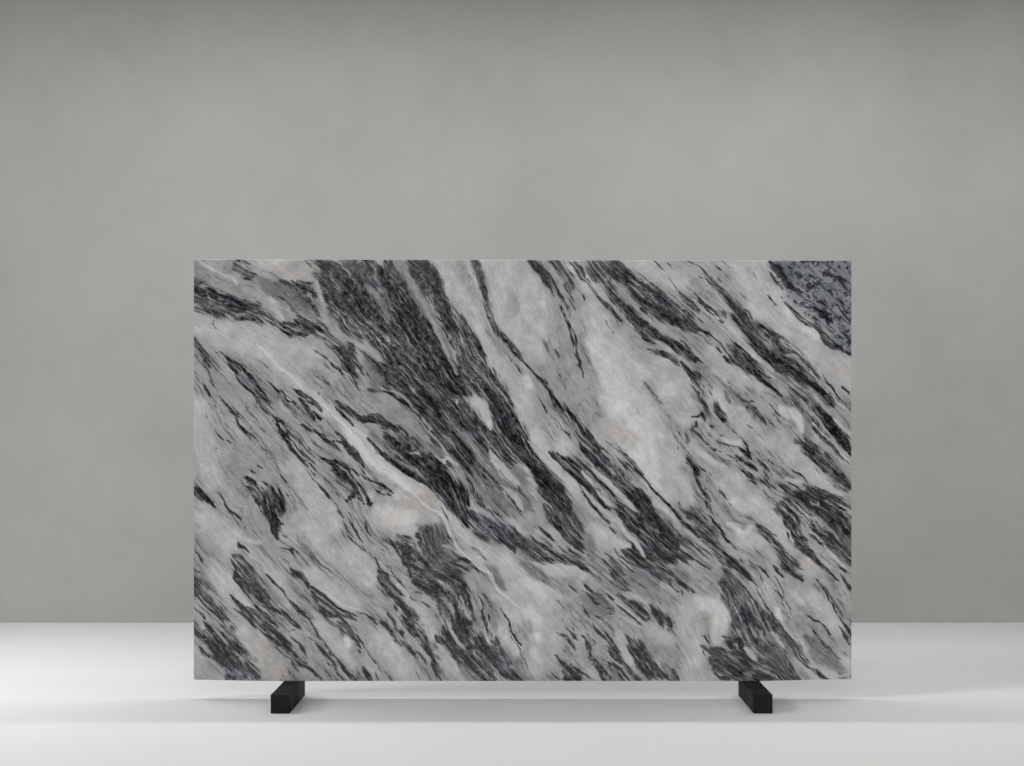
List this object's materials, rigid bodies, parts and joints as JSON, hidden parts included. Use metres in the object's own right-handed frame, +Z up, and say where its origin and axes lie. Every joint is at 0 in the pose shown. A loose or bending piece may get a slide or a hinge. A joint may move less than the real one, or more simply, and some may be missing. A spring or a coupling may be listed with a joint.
{
  "type": "marble slab",
  "caption": "Polished grey marble slab with dark diagonal veining, standing on edge across two black square timber bearers.",
  "frame": {"origin": "on the floor, midway along the bearers and under the middle of the slab's length", "axes": "+X along the slab to the right of its polished face, +Y from the polished face to the back, +Z up"},
  "size_m": [2.9, 0.37, 1.939],
  "materials": {
    "marble": "polished, light grey with charcoal and white veins",
    "black_paint": "matt black paint on timber"
  },
  "bodies": {
    "root": {"marble_slab": "marble", "left_bearer": "black_paint", "right_bearer": "black_paint"}
  },
  "joints": []
}
